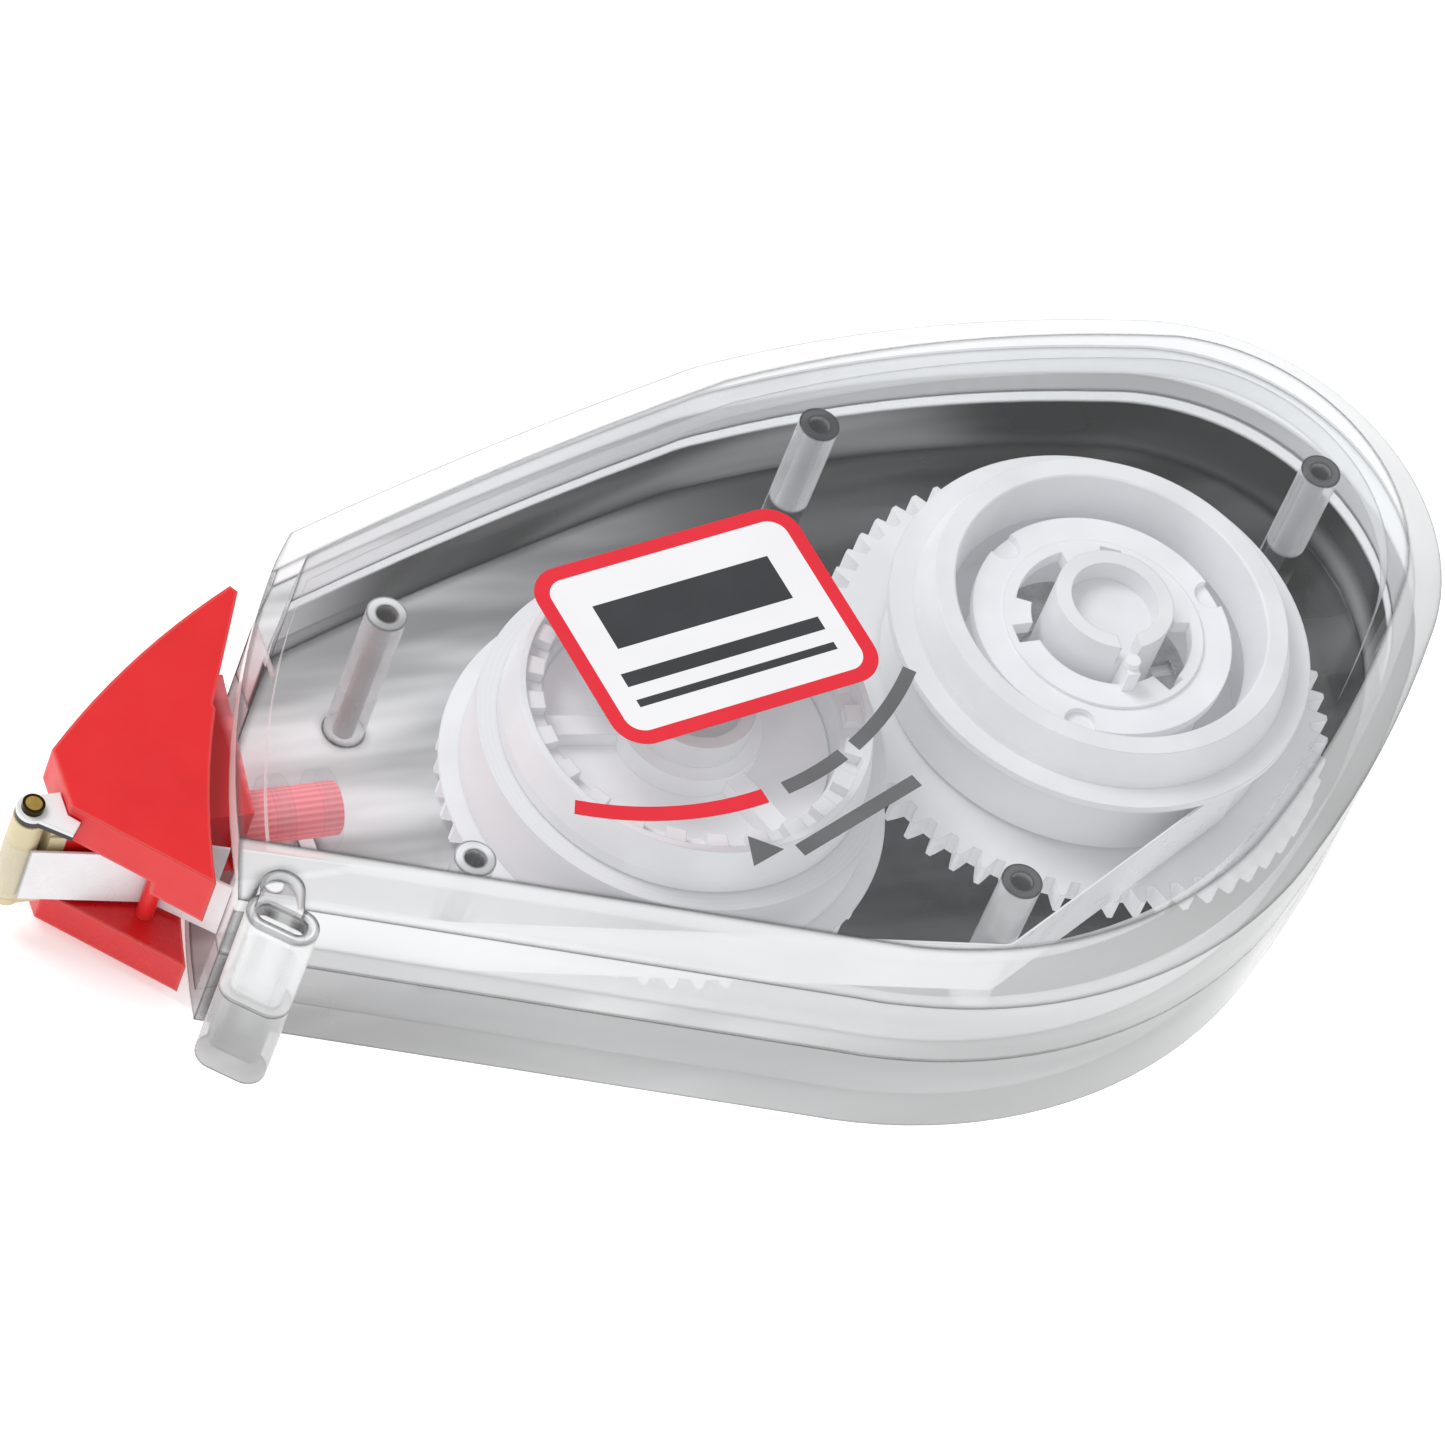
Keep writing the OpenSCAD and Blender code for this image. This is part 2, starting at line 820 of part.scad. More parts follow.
module print_arc_red() {
    color(PRINT_RED)
        arc_bar(-111, 33, 0.9);
}

module print_arc_grey() {
    color(PRINT_GREY) {
        arc_bar(-74, 13, 0.8);
        arc_bar(-58, 20, 0.8);
    }
}

module direction_arrow() {
    color(PRINT_GREY) {
        translate([0, 0, thickness])
            linear_extrude(print_t)
                polygon([[-5.3, -10.8], [-5.6, -12.7], [-3.6, -11.9]]);
        translate([-2.7, -12.1, thickness])
            rotate([0, 0, 23])
                translate([0, -0.4, 0])
                    cube([8.8, 0.8, print_t]);
    }
}

// ---- nodes ----

back_shell();
front_shell();
supply_gear();
supply_core();
supply_clutch_disc();
supply_clutch_spring();
supply_tape_roll();
take_up_gear();
take_up_core();
take_up_spider();
take_up_liner_roll();
supply_strand();
return_strand();
head_supply_strand();
head_return_strand();
head_upper_cheek();
head_lower_cheek();
head_shank();
centring_tongue();
head_guide_pin();
tip_frame();
tip_arm();
tip_roller();
tip_pin();
badge_border();
badge_face();
badge_bars();
print_arc_red();
print_arc_grey();
direction_arrow();
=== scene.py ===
"""Correction tape roller: materials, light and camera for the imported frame.

The frame is in metres. Names that end in _mm, and the zones below, are in millimetres.
"""

import json
import math

import bpy
from mathutils import Matrix, Vector


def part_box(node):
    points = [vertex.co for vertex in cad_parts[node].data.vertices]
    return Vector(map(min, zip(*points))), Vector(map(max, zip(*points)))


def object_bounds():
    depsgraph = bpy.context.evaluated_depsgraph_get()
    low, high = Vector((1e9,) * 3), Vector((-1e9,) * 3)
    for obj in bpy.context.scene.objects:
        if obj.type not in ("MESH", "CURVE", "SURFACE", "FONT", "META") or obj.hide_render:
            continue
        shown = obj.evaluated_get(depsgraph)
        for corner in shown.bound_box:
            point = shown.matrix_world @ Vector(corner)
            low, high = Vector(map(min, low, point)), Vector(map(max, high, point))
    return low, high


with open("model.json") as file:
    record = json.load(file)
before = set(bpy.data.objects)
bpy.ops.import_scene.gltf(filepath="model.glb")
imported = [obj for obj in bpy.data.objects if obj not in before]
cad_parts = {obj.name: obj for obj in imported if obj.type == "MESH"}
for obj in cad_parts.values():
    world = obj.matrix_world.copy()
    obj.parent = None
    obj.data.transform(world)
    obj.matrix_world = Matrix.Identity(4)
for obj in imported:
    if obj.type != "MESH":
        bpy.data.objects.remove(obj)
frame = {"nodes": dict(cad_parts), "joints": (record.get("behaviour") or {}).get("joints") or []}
cad_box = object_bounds()
nodes = frame["nodes"]
scene = bpy.context.scene
MM = 0.001

# ---------------------------------------------------------------- places on the object

joint_at = {joint["name"]: Vector(joint["pos_m"]) / MM for joint in frame["joints"]}
SUPPLY_AXIS = joint_at["supply_spin"]
TAKE_UP_AXIS = joint_at["take_up_spin"]
SHANK_AXIS = joint_at["head_flex"]
TIP_AXIS = joint_at["tip_roller_spin"]
ARM_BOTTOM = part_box("tip_arm")[0][2] / MM
MOUTH_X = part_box("front_shell")[0][0] / MM
SEAM_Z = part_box("front_shell")[0][2] / MM
LID_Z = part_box("front_shell")[1][2] / MM

# Each zone is the stretch over which its mask fades in or out
FOOT_X = (-29.5, -29.1)
FOOT_Y = (-11.2, -10.8)
LEDGE_Z = (LID_Z - 2.9, LID_Z - 2.7)
LEDGE_TOP_Z = (LID_Z - 1.2, LID_Z - 1.0)
# DARK_TOP_Z, PLATE_FADE_X, FAR_SIDE and FAR_TILT place the back shell's painted dark reflections
DARK_TOP_Z = (SEAM_Z - 1.1, SEAM_Z - 0.7)
PLATE_FADE_X = (-26, 10)
FAR_SIDE = (-8, 10)
FAR_TILT = 0.5
NEAR_SIDE_Y = (-17, -10)
CRADLE_ACROSS = (3.0, 3.6)
CRADLE_Z = (1.15, 1.3)
CRADLE_X = (-23, -22)

# Clear faces are told apart by their slope: 0 is level, 1 is upright
BEVEL_SLOPE = (0.02, 0.12)
WALL_SLOPE = (0.3, 0.8)
LEDGE_SLOPE = (0.5, 0.9)
UNDERSIDE_UP = (-0.6, -0.4)
# Inner wall faces turned this way carry the painted dark reflection
FAR_WALL_INWARD = (-0.45, -0.89, 0)
INWARD_FADE = (-0.2, 0.3)

# Painted dark lines along edges and painted shade in narrow bores: how far they reach, and where
# their lines start and end. The slot in the corner foot is a wide bore, so its painted shade is held back.
LID_EDGE_MM = 0.48
TRAY_EDGE_MM = 0.2
EDGE_EVENNESS = (0.97, 0.9985)
# Where the painted edge highlight of the moulded parts starts and ends
PAINTED_HIGHLIGHT_EVENNESS = (0.95, 0.9995)
BORE_REACH_MM = 1.3
BORE_OPENNESS = (0.46, 0.6)
FOOT_BORE_RELIEF = 0.22

# How much each kind of clear face veils what lies behind it
LID_VEIL = 0.015
BEVEL_VEIL = 0.6
WALL_VEIL = 0.5
PLATE_VEIL = 0.93
POST_VEIL = 0.38
NEAR_WALL_EXTRA = 0.3
FAR_WALL_EXTRA = 0.6
SLANT_EXTRA = 0.35
EDGE_EXTRA = 0.85
BORE_EXTRA = 0.9
CRADLE_PRESENCE = 0.08

# Tones of the clear plastic, with its painted dark lines, painted dark reflections and painted gleams
GLASS_TINT = (0.985, 0.993, 1.0)
LINE_TONE = 0.08
DARKEST = 0.02
DARK_TONE = 0.025
PLATE_DARK = 0.045
PLATE_PALE = 0.54
PLATE_GLEAM = (-0.24, 0.3)
GLEAM_AT_TAIL = 0.12
FAR_WALL_GLEAM = 0.3
NEAR_WALL_TONE = 0.5
OUTER_WALL_TONE = 0.82

# Colours of the other pieces
RED = (0.70, 0.008, 0.012)
SHANK_PINK = (0.92, 0.27, 0.30)
CREAM = (0.66, 0.58, 0.36)
REEL = (0.64, 0.645, 0.66)
BRASS = (0.60, 0.40, 0.11)
STEEL = (0.6, 0.6, 0.6)
WHITE = (1, 1, 1)
BLACK = (0.01, 0.01, 0.01)


def shade(colour, k):
    return tuple(min(1.0, c * k) for c in colour)


# ---------------------------------------------------------------- shader graphs


class Graph:
    """One material's node tree, with short calls for the nodes used here."""

    def __init__(self, name):
        self.material = bpy.data.materials.new(name)
        self.material.use_nodes = True
        self.tree = self.material.node_tree
        self.tree.nodes.clear()
        self.output = self.node("ShaderNodeOutputMaterial")
        self.position = self.node("ShaderNodeTexCoord").outputs["Object"]
        self.face = self.node("ShaderNodeNewGeometry")
        self.normal = self.face.outputs["True Normal"]

    def node(self, kind):
        return self.tree.nodes.new(kind)

    def feed(self, socket, value):
        if isinstance(value, bpy.types.NodeSocket):
            self.tree.links.new(value, socket)
        elif isinstance(value, (tuple, list)) and socket.type == "RGBA":
            socket.default_value = (*value[:3], 1)
        else:
            socket.default_value = value

    # numbers

    def math(self, operation, a, b=0.0, clamp=False):
        node = self.node("ShaderNodeMath")
        node.operation = operation
        node.use_clamp = clamp
        self.feed(node.inputs[0], a)
        self.feed(node.inputs[1], b)
        return node.outputs[0]

    def add(self, a, b, clamp=False):
        return self.math("ADD", a, b, clamp)

    def times(self, first, *others):
        for other in others:
            first = self.math("MULTIPLY", first, other)
        return first

    def rest(self, share):
        """What is left of 1."""
        return self.math("SUBTRACT", 1.0, share)

    def blend(self, mask, a, b):
        """Number a where the mask is 1, b where it is 0."""
        return self.add(self.times(mask, a), self.times(self.rest(mask), b))

    def ramp(self, value, x0, x1, y0=0.0, y1=1.0):
        """Smooth step from y0 at x0 to y1 at x1."""
        node = self.node("ShaderNodeMapRange")
        node.interpolation_type = "SMOOTHSTEP"
        self.feed(node.inputs["Value"], value)
        for name, number in zip(("From Min", "From Max", "To Min", "To Max"), (x0, x1, y0, y1)):
            node.inputs[name].default_value = number
        return node.outputs["Result"]

    def noise(self, scale, detail=3.0, stretch=(1, 1, 1)):
        node = self.node("ShaderNodeTexNoise")
        node.inputs["Scale"].default_value = scale
        node.inputs["Detail"].default_value = detail
        self.feed(node.inputs["Vector"], self.vector("MULTIPLY", self.position, stretch))
        return node.outputs["Fac"]

    def uneven(self, scale, low=0.0, high=1.0, spread=0.2):
        """Noise between two values; a smaller spread gives sharper patches."""
        return self.ramp(self.noise(scale), 0.5 - spread, 0.5 + spread, low, high)

    # vectors and places

    def vector(self, operation, a, b=(0, 0, 0)):
        node = self.node("ShaderNodeVectorMath")
        node.operation = operation
        self.feed(node.inputs[0], a)
        self.feed(node.inputs[1], b)
        return node.outputs["Value" if operation in ("LENGTH", "DOT_PRODUCT") else 0]

    def component(self, vector, i):
        node = self.node("ShaderNodeSeparateXYZ")
        self.feed(node.inputs[0], vector)
        return node.outputs[i]

    def place_mm(self, i):
        return self.times(self.component(self.position, i), 1 / MM)

    def radius_mm(self, axis):
        """Distance from an upright axis."""
        flat = self.vector("MULTIPLY", self.vector("SUBTRACT", self.position, tuple(axis * MM)), (1, 1, 0))
        return self.times(self.vector("LENGTH", flat), 1 / MM)

    def outward(self):
        """1 where a ray meets the face from outside the plastic, -1 from inside it."""
        return self.rest(self.times(2.0, self.face.outputs["Backfacing"]))

    def steepness(self):
        """0 on level faces, 1 on upright ones."""
        return self.rest(self.math("ABSOLUTE", self.component(self.normal, 2)))

    # surface detail

    def mix(self, fac, a, b):
        """Colour a where fac is 0, b where it is 1."""
        node = self.node("ShaderNodeMix")
        node.data_type = "RGBA"
        self.feed(node.inputs[0], fac)
        self.feed(node.inputs[6], a)
        self.feed(node.inputs[7], b)
        return node.outputs[2]

    def bump(self, height, strength, depth_mm, normal=None):
        node = self.node("ShaderNodeBump")
        node.inputs["Strength"].default_value = strength
        node.inputs["Distance"].default_value = depth_mm * MM
        self.feed(node.inputs["Height"], height)
        if normal is not None:
            self.feed(node.inputs["Normal"], normal)
        return node.outputs["Normal"]

    def soft_edges(self, radius_mm):
        """Normal of the surface with its edges rounded over, on the side that the ray meets."""
        node = self.node("ShaderNodeBevel")
        node.samples = 4
        node.inputs["Radius"].default_value = radius_mm * MM
        rounded = node.outputs["Normal"]
        side = self.math("SIGN", self.vector("DOT_PRODUCT", rounded, self.normal))
        return self.vector("MULTIPLY", rounded, side)

    def evenness(self, rounded):
        """1 on a plain face, less where its edge is rounded over."""
        return self.math("ABSOLUTE", self.vector("DOT_PRODUCT", rounded, self.normal))

    def openness(self, reach_mm):
        """Low inside a narrow bore."""
        node = self.node("ShaderNodeAmbientOcclusion")
        node.samples = 4
        node.only_local = True
        node.inputs["Distance"].default_value = reach_mm * MM
        return node.outputs["AO"]

    # shaders

    def principled(self, **values):
        node = self.node("ShaderNodeBsdfPrincipled")
        for key, value in values.items():
            self.feed(node.inputs[key.replace("_", " ")], value)
        return node.outputs[0]

    def finish(self, shader):
        self.feed(self.output.inputs["Surface"], shader)
        return self.material

    def finish_see_through(self, opacity, body, tint=WHITE):
        """Body at the given opacity over what lies behind it."""
        through = self.node("ShaderNodeBsdfTransparent")
        self.feed(through.inputs["Color"], tint)
        mix = self.node("ShaderNodeMixShader")
        for i, value in enumerate((opacity, through.outputs[0], body)):
            self.feed(mix.inputs[i], value)
        return self.finish(mix.outputs[0])


# ---------------------------------------------------------------- solid materials


def moulded(name, colour, roughness, variation=0.04, texture_mm=0.25, depth_mm=0.006, edge_mm=0.12,
            glow=0.0, painted_edge_highlight=None):
    """Moulded plastic: fine surface texture, faint flow clouding, uneven gloss, soft edges that
    may carry a painted highlight colour, and a faint painted glow, emitted light in place of its
    translucency."""
    g = Graph(name)
    fine = g.noise(1 / (texture_mm * MM), detail=2)
    tone = g.mix(g.uneven(220, spread=0.15), shade(colour, 1 - variation), shade(colour, 1 + variation))
    rounded = g.soft_edges(edge_mm)
    # painted highlight: rounded edges turn towards a lighter colour
    if painted_edge_highlight is not None:
        tone = g.mix(g.ramp(g.evenness(rounded), *PAINTED_HIGHLIGHT_EVENNESS, 0.9, 0.0), tone, painted_edge_highlight)
    return g.finish(g.principled(
        Base_Color=tone,
        Roughness=g.uneven(600, roughness - 0.05, roughness + 0.07),
        Normal=g.bump(fine, 0.3, depth_mm, rounded),
        # painted glow: emitted light in the plastic's own colour
        Emission_Color=colour,
        Emission_Strength=glow,
    ))


def wound(name, axis, colour, pitch_mm=0.3, glow=0.12):
    """Many layers of tape: fine rings around the reel's axis on its faces."""
    g = Graph(name)
    turns = g.times(g.radius_mm(axis), 1 / pitch_mm)
    ring = g.math("FRACT", g.add(turns, g.times(g.noise(500), 0.8)))
    layers = g.noise(900, stretch=(0.15, 0.15, 6))
    tone = g.add(g.times(ring, 0.5), g.times(layers, 0.5))
    return g.finish(g.principled(
        Base_Color=g.mix(tone, shade(colour, 0.93), shade(colour, 1.03)),
        Roughness=g.ramp(layers, 0.3, 0.7, 0.34, 0.46),
        Normal=g.bump(tone, 0.2, 0.015),
        # painted glow: emitted light that lifts the roll's shade
        Emission_Color=colour,
        Emission_Strength=glow,
    ))


def metal(name, colour, roughness, axis=None, painted_hole_shade_mm=0.0):
    """Brushed metal, with a dark ring of painted shade, for the hole round the pin, outside the given
    radius where an axis is given.
    """
    g = Graph(name)
    tone = g.mix(g.uneven(900), shade(colour, 0.85), shade(colour, 1.1))
    if axis is not None:
        # painted shade of the hole round the pin
        ring = g.ramp(g.radius_mm(axis), painted_hole_shade_mm, painted_hole_shade_mm + 0.06)
        tone = g.mix(ring, tone, shade(colour, 0.06))
    return g.finish(g.principled(
        Base_Color=tone,
        Roughness=g.uneven(2500, roughness * 0.7, roughness * 1.5),
        Metallic=1.0,
        Normal=g.bump(g.noise(4000), 0.2, 0.004, g.soft_edges(0.08)),
    ))


def two_part(name, axis_index, change_mm, before, after, roughness):
    """Small moulded piece in one colour up to a plane, another behind it."""
    g = Graph(name)
    place = g.ramp(g.place_mm(axis_index), change_mm, change_mm + 0.05)
    return g.finish(g.principled(
        Base_Color=g.mix(place, before, after),
        Roughness=g.uneven(800, *roughness),
        Normal=g.bump(g.noise(4000), 0.25, 0.005, g.soft_edges(0.08)),
    ))


def ribbed(name, plain, pale, pale_from_mm, ridges=26):
    """Red shank: smooth towards the head, finely ridged and paler where the casing holds it."""
    g = Graph(name)
    dy, dz = (g.math("SUBTRACT", g.place_mm(i), SHANK_AXIS[i]) for i in (1, 2))
    ridge = g.math("SINE", g.times(g.math("ARCTAN2", dz, dy), ridges))
    held = g.ramp(g.place_mm(0), pale_from_mm, pale_from_mm + 0.8)
    ridged = g.mix(g.ramp(ridge, -0.6, 0.8), shade(pale, 0.85), shade(pale, 1.1))
    return g.finish(g.principled(
        Base_Color=g.mix(held, plain, ridged),
        Roughness=g.uneven(800, 0.3, 0.42),
        Normal=g.bump(g.times(ridge, held), 0.4, 0.04),
    ))


def film(name, colour, clear_before_mm):
    """Tape near the tip: turns to clear film where it wraps the roller."""
    g = Graph(name)
    body = g.principled(
        Base_Color=g.mix(g.uneven(400, spread=0.15), shade(colour, 0.97), shade(colour, 1.02)),
        Roughness=g.uneven(900, 0.25, 0.38),
        Normal=g.bump(g.noise(700), 0.15, 0.003),
    )
    opacity = g.ramp(g.place_mm(0), clear_before_mm, clear_before_mm + 0.15, 0.12, 1.0)
    return g.finish_see_through(opacity, body)


# ---------------------------------------------------------------- clear casing


def clear_wall(g, tone, opacity, edge_mm, presence=1.0, lines=1.0):
    """Thin clear wall: a veil of the given tone, more of it at a slant, with painted dark lines along its
    edges and painted shade in narrow bores. A low presence makes all of it fainter, low lines only the
    edges and bores."""
    rounded = g.soft_edges(edge_mm)
    # painted dark line along each edge, in place of the dark refraction at clear plastic's edges
    edge = g.times(g.ramp(g.evenness(rounded), *EDGE_EVENNESS, 1.0, 0.0), lines)
    foot = g.times(g.ramp(g.place_mm(0), *FOOT_X, FOOT_BORE_RELIEF, 0.0),
                   g.ramp(g.place_mm(1), *FOOT_Y, 1.0, 0.0))
    # painted shade in narrow bores, from how closed in each point is
    narrow = g.ramp(g.math("SUBTRACT", g.openness(BORE_REACH_MM), foot), *BORE_OPENNESS, 1.0, 0.0)
    bore = g.times(narrow, g.rest(g.face.outputs["Backfacing"]), lines)
    weight = g.node("ShaderNodeLayerWeight")
    weight.inputs["Blend"].default_value = 0.5
    slant = g.math("POWER", weight.outputs["Facing"], 3.0)

    opacity = g.add(opacity, g.times(slant, SLANT_EXTRA))
    opacity = g.add(opacity, g.times(edge, EDGE_EXTRA))
    opacity = g.add(opacity, g.times(bore, BORE_EXTRA), clamp=True)
    # the painted edge lines and the painted bore shade darken the tone
    for mask in (edge, bore):
        tone = g.times(tone, g.ramp(mask, 0.0, 1.0, 1.0, LINE_TONE))
    tinted = g.node("ShaderNodeCombineColor")
    for i, k in enumerate(GLASS_TINT):
        g.feed(tinted.inputs[i], g.times(tone, k))
    body = g.principled(
        Base_Color=tinted.outputs[0],
        Roughness=g.uneven(420, 0.06, 0.18),
        Normal=g.bump(g.noise(110, detail=1), 0.12, 0.03, rounded),
    )
    return g.finish_see_through(g.times(opacity, presence), body, GLASS_TINT)


def lid_plastic(name):
    """Front shell: clear lid, milky bevel round it and milky walls."""
    g = Graph(name)
    steep = g.steepness()
    streak = g.noise(70, detail=2, stretch=(0.6, 0.6, 4))
    opacity = g.add(g.ramp(steep, *BEVEL_SLOPE, LID_VEIL, BEVEL_VEIL),
                    g.ramp(steep, *WALL_SLOPE, 0.0, WALL_VEIL - BEVEL_VEIL))

    # no painted dark edge lines along the hidden ledge under the bevel
    z = g.place_mm(2)
    up = g.times(g.component(g.normal, 2), g.outward())
    above = g.ramp(z, *LEDGE_Z)
    ledge = g.times(above, g.ramp(z, *LEDGE_TOP_Z, 1.0, 0.0), g.ramp(steep, *LEDGE_SLOPE))
    under = g.times(above, g.ramp(up, *UNDERSIDE_UP, 1.0, 0.0))
    lines = g.rest(g.math("MAXIMUM", ledge, under))
    return clear_wall(g, g.ramp(streak, 0.35, 0.65, 0.8, 0.92), opacity, LID_EDGE_MM, lines=lines)


def tray_plastic(name):
    """Back shell: a plate and far wall with painted dark reflections of the room in their tone, and a
    pale near wall."""
    g = Graph(name)
    x, y, z = (g.place_mm(i) for i in range(3))
    upright = g.ramp(g.steepness(), *WALL_SLOPE)
    streak = g.noise(55, detail=2, stretch=(0.5, 0.5, 3))

    # plate: painted reflections, pale towards the head, dark towards the tail, streaked with painted gleam
    along = g.noise(75, detail=3, stretch=(0.35, 2.2, 1))
    headward = g.ramp(x, *PLATE_FADE_X, 1.0, 0.0)
    gleam = g.times(g.ramp(along, 0.38, 0.62, *PLATE_GLEAM), g.add(headward, GLEAM_AT_TAIL))
    plate_tone = g.add(g.add(g.times(headward, PLATE_PALE), PLATE_DARK), gleam)

    # painted dark reflection on the inner faces of the wall on the far side and at the tail, up to just
    # under the seam
    inward = g.vector("DOT_PRODUCT", g.normal, FAR_WALL_INWARD)
    inner = g.ramp(g.times(inward, g.outward()), *INWARD_FADE)
    far = g.ramp(g.add(y, g.times(x, FAR_TILT)), *FAR_SIDE)
    dark = g.times(inner, far, g.ramp(z, *DARK_TOP_Z, 1.0, 0.0))
    dark_tone = g.add(DARK_TONE, g.ramp(streak, 0.45, 0.75, 0.0, FAR_WALL_GLEAM))
    outer = g.times(far, g.rest(inner))
    pale_tone = g.add(g.ramp(outer, 0.0, 1.0, NEAR_WALL_TONE, OUTER_WALL_TONE),
                      g.ramp(streak, 0.35, 0.65, -0.04, 0.08))
    tone = g.blend(upright, g.blend(dark, dark_tone, pale_tone), plate_tone)

    # the near wall is milky, the posts and the shank's cradles are clearer
    near = g.ramp(y, *NEAR_SIDE_Y, 1.0, 0.0)
    wall_veil = g.add(g.times(near, NEAR_WALL_EXTRA), g.times(dark, FAR_WALL_EXTRA))
    wall_veil = g.add(wall_veil, POST_VEIL, clamp=True)
    opacity = g.blend(upright, wall_veil, PLATE_VEIL)
    across = g.math("ABSOLUTE", g.math("SUBTRACT", y, SHANK_AXIS.y))
    cradle = g.times(g.ramp(across, *CRADLE_ACROSS, 1.0, 0.0), g.ramp(z, *CRADLE_Z),
                     g.ramp(x, *CRADLE_X, 1.0, 0.0))
    presence = g.ramp(cradle, 0.0, 1.0, 1.0, CRADLE_PRESENCE)
    return clear_wall(g, g.math("MAXIMUM", tone, DARKEST), opacity, TRAY_EDGE_MM, presence)


# ---------------------------------------------------------------- looks of the nodes

clear_back = tray_plastic("clear_back")
clear_front = lid_plastic("clear_front")
# The reels' white has a painted glow, emitted light that lifts its shade; the discs deep inside the reels
# get more of it.
reel_white = moulded("reel_white", REEL, 0.42, glow=0.16)
disc_white = moulded("disc_white", REEL, 0.4, glow=0.26)
supply_wound = wound("supply_wound", SUPPLY_AXIS, (0.65, 0.655, 0.665))
liner_wound = wound("liner_wound", TAKE_UP_AXIS, (0.65, 0.655, 0.67))
spring_steel = metal("spring_steel", STEEL, 0.3)

# The head's red parts carry a painted highlight colour along their edges.
head_red = moulded("head_red", RED, 0.34, variation=0.03, texture_mm=0.4, depth_mm=0.001,
                   edge_mm=0.3, painted_edge_highlight=(0.85, 0.12, 0.10))
head_red_low = moulded("head_red_low", shade(RED, 0.9), 0.28, variation=0.06, texture_mm=0.4,
                       depth_mm=0.001, edge_mm=0.25, painted_edge_highlight=(0.85, 0.14, 0.12))
shank_red = ribbed("shank_red", shade(RED, 0.8), SHANK_PINK, MOUTH_X + 4.2)
cream = moulded("cream", CREAM, 0.38)
tip_cream = two_part("tip_cream", 0, TIP_AXIS.x + 2.0, CREAM, shade(RED, 0.8), (0.32, 0.45))
# The arm is black along its lowest 0.32 mm: a painted shadow of the gap between arm and roller.
arm_white = two_part("arm_white", 2, ARM_BOTTOM + 0.32, BLACK, (0.78, 0.78, 0.79), (0.3, 0.42))
brass = metal("brass", BRASS, 0.22, TIP_AXIS, painted_hole_shade_mm=0.42)

tape_white = moulded("tape_white", (0.80, 0.80, 0.81), 0.3, variation=0.02, depth_mm=0.001)
liner = moulded("liner", (0.72, 0.73, 0.75), 0.28, variation=0.03, depth_mm=0.001)
tip_film = film("tip_film", (0.82, 0.82, 0.84), TIP_AXIS.x + 0.1)
tip_liner = film("tip_liner", (0.74, 0.75, 0.77), TIP_AXIS.x + 0.1)

print_red = moulded("print_red", (0.75, 0.012, 0.03), 0.4, variation=0.02, edge_mm=0.02)
print_white = moulded("print_white", (0.84, 0.84, 0.86), 0.42, variation=0.01, edge_mm=0.02)
print_grey = moulded("print_grey", (0.13, 0.132, 0.136), 0.45, variation=0.08, edge_mm=0.02)
print_black = moulded("print_black", (0.03, 0.032, 0.036), 0.45, variation=0.08, edge_mm=0.02)

LOOKS = {
    "back_shell": clear_back,
    "front_shell": clear_front,
    "supply_gear": reel_white,
    "supply_core": reel_white,
    "supply_clutch_disc": disc_white,
    "supply_clutch_spring": spring_steel,
    "supply_tape_roll": supply_wound,
    "take_up_gear": reel_white,
    "take_up_core": reel_white,
    "take_up_spider": disc_white,
    "take_up_liner_roll": liner_wound,
    "supply_strand": tape_white,
    "return_strand": liner,
    "head_supply_strand": tip_film,
    "head_return_strand": tip_liner,
    "head_upper_cheek": head_red,
    "head_lower_cheek": head_red_low,
    "head_shank": shank_red,
    "centring_tongue": head_red,
    "head_guide_pin": head_red,
    "tip_frame": tip_cream,
    "tip_arm": arm_white,
    "tip_roller": cream,
    "tip_pin": brass,
    "badge_border": print_red,
    "badge_face": print_white,
    "badge_bars": print_black,
    "print_arc_red": print_red,
    "print_arc_grey": print_grey,
    "direction_arrow": print_grey,
}
for node_name, look in LOOKS.items():
    for slot in nodes[node_name].material_slots:
        slot.link = "OBJECT"
        slot.material = look

# Clear walls let the light through
for node_name in ("back_shell", "front_shell"):
    nodes[node_name].visible_shadow = False
    nodes[node_name].visible_diffuse = False

# ---------------------------------------------------------------- camera


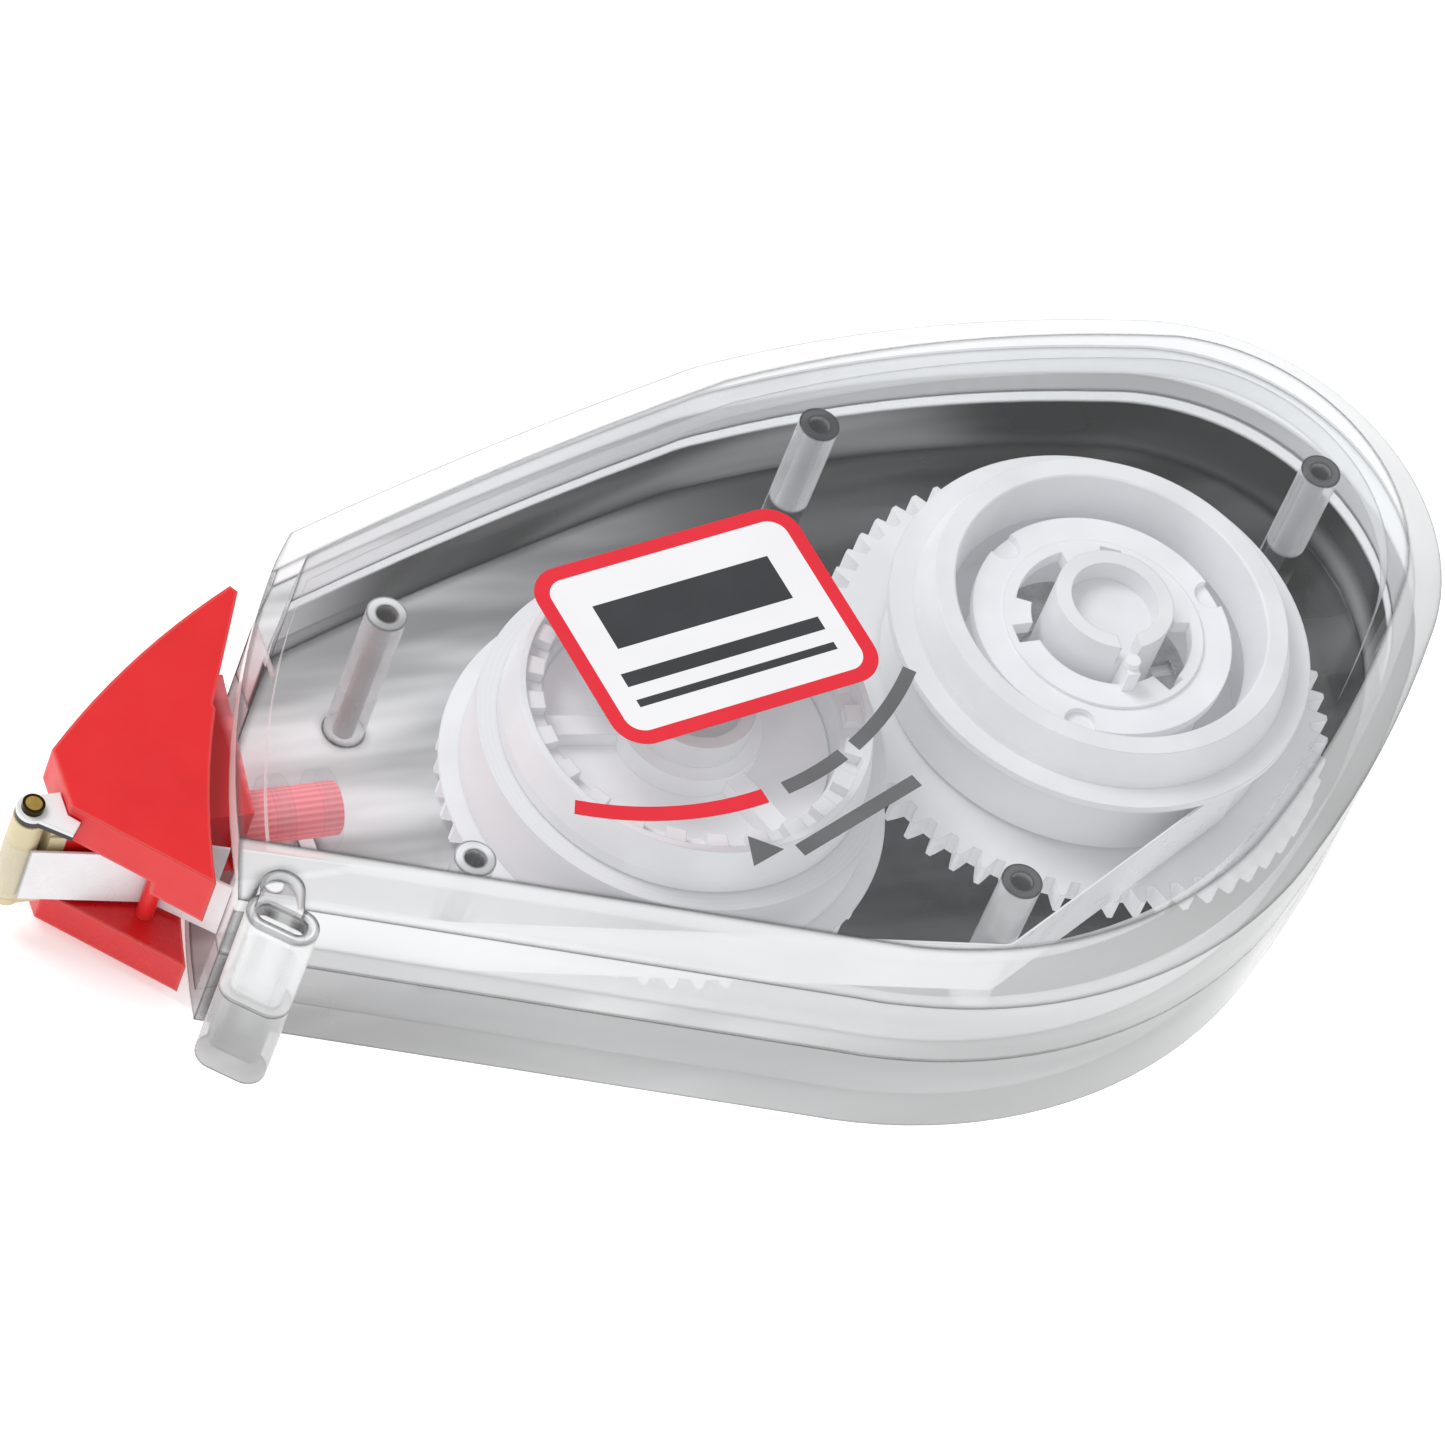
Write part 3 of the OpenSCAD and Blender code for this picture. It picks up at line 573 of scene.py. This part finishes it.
def aim(azimuth, elevation, roll, distance, target, lens):
    """Camera on a sphere round the target; angles in degrees, azimuth 0 looks along +Y."""
    a, e, r = (math.radians(v) for v in (azimuth, elevation, roll))
    back = Vector((math.sin(a) * math.cos(e), -math.cos(a) * math.cos(e), math.sin(e)))
    right = Vector((math.cos(a), math.sin(a), 0))
    up = back.cross(right)
    tilted_right = math.cos(r) * right + math.sin(r) * up
    tilted_up = -math.sin(r) * right + math.cos(r) * up
    turn = Matrix((tilted_right, tilted_up, back)).transposed().to_4x4()
    camera = bpy.data.objects.new("camera", bpy.data.cameras.new("camera"))
    camera.data.lens = lens
    camera.data.sensor_width = 36
    camera.data.clip_start = 0.01
    camera.data.clip_end = 20
    camera.matrix_world = Matrix.Translation(target + back * distance) @ turn
    scene.collection.objects.link(camera)
    scene.camera = camera


aim(azimuth=-37.5, elevation=50.18, roll=23.31, distance=0.4891,
    target=Vector((-1.75, -0.2, 8.2)) * MM, lens=224.2)

# ---------------------------------------------------------------- stage and light

FLOOR_SIZE = 4.0
FLOOR_GAP = 0.2 * MM


def stage_plane(name, size, height, material):
    mesh = bpy.data.meshes.new(name)
    h = size / 2
    corners = [(-h, -h, height), (h, -h, height), (h, h, height), (-h, h, height)]
    mesh.from_pydata(corners, [], [(0, 1, 2, 3)])
    mesh.materials.append(material)
    obj = bpy.data.objects.new(name, mesh)
    scene.collection.objects.link(obj)


def pale_floor(name):
    g = Graph(name)
    return g.finish(g.principled(
        Base_Color=g.mix(g.uneven(3), (0.90, 0.90, 0.90), (0.92, 0.92, 0.92)),
        Roughness=0.9,
        Emission_Color=WHITE,
        Emission_Strength=0.34,
    ))


def soft_light(name, location, size, energy):
    data = bpy.data.lights.new(name, "AREA")
    data.energy = energy
    data.size = size
    obj = bpy.data.objects.new(name, data)
    obj.location = location
    obj.rotation_euler = (-Vector(location)).to_track_quat("-Z", "Y").to_euler()
    scene.collection.objects.link(obj)


stage_plane("floor", FLOOR_SIZE, cad_box[0][2] - FLOOR_GAP, pale_floor("floor"))

world = bpy.data.worlds.new("studio")
world.use_nodes = True
background = world.node_tree.nodes["Background"]
background.inputs["Color"].default_value = (*WHITE, 1)
background.inputs["Strength"].default_value = 0.62
scene.world = world

soft_light("key", (-0.30, 0.30, 0.55), size=0.30, energy=2.6)
soft_light("fill", (-0.45, -0.45, 0.35), size=0.50, energy=0.8)

scene.view_settings.view_transform = "Standard"
scene.cycles.transparent_max_bounces = 32
